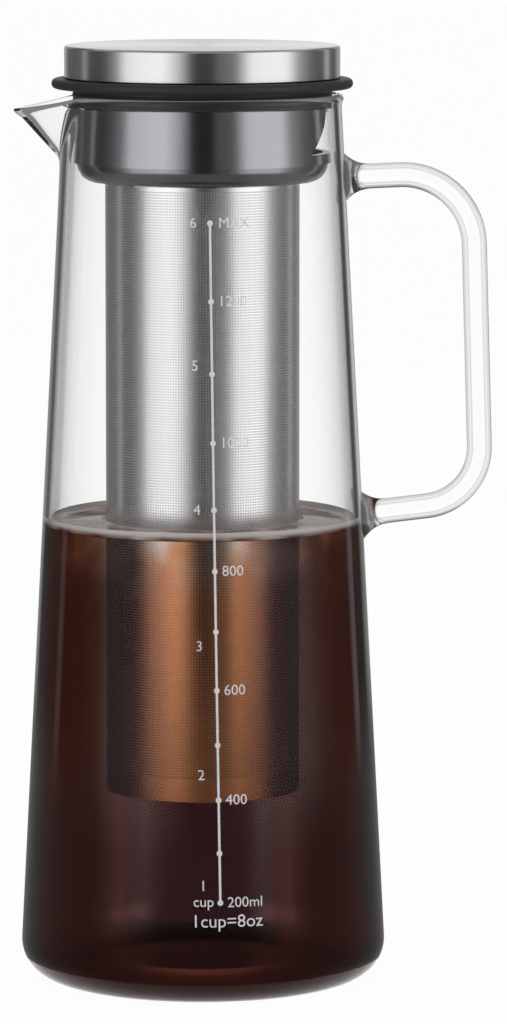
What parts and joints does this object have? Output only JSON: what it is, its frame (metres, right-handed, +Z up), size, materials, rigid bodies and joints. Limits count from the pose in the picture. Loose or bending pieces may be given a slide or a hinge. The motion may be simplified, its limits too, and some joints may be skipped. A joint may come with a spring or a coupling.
{
  "type": "cold brew coffee maker",
  "caption": "Tapered glass carafe with pulled spout and rod handle, closed by a steel lid whose turning collar carries a long fine steel brewing filter.",
  "frame": {"origin": "centre of the carafe's flat foot, on the carafe's axis", "axes": "+Z up along the carafe's axis, +X towards the handle, -X towards the spout"},
  "size_m": [0.1331, 0.102, 0.2613],
  "materials": {
    "borosilicate_glass": "clear, fire polished",
    "black_silicone": "matte moulded silicone",
    "brushed_steel": "circular brushed",
    "dark_plastic": "glossy dark grey moulded plastic",
    "etched_steel": "etched with a fine grid of holes",
    "polished_steel": "rolled and polished"
  },
  "bodies": {
    "carafe": {"glass_carafe": "borosilicate_glass", "glass_handle": "borosilicate_glass"},
    "seal": {"rim_gasket": "black_silicone", "neck_seal": "black_silicone"},
    "lid": {"steel_cap": "brushed_steel", "cap_core": "dark_plastic", "pour_collar": "dark_plastic", "collar_base": "dark_plastic"},
    "filter": {"filter_tube": "etched_steel", "filter_rim": "polished_steel", "filter_grip": "black_silicone", "filter_base": "etched_steel"}
  },
  "joints": [
    {"name": "lid_lift", "type": "slide", "parent": "carafe", "child": "seal", "axis": [0, 0, 1], "range_m": [0, 0.21]},
    {"name": "lid_turn", "type": "hinge", "parent": "seal", "child": "lid", "pos_m": [0, 0, 0.24], "axis": [0, 0, 1], "continuous": true},
    {"name": "filter_pull", "type": "slide", "parent": "lid", "child": "filter", "axis": [0, 0, -1], "range_m": [0, 0.038]}
  ]
}
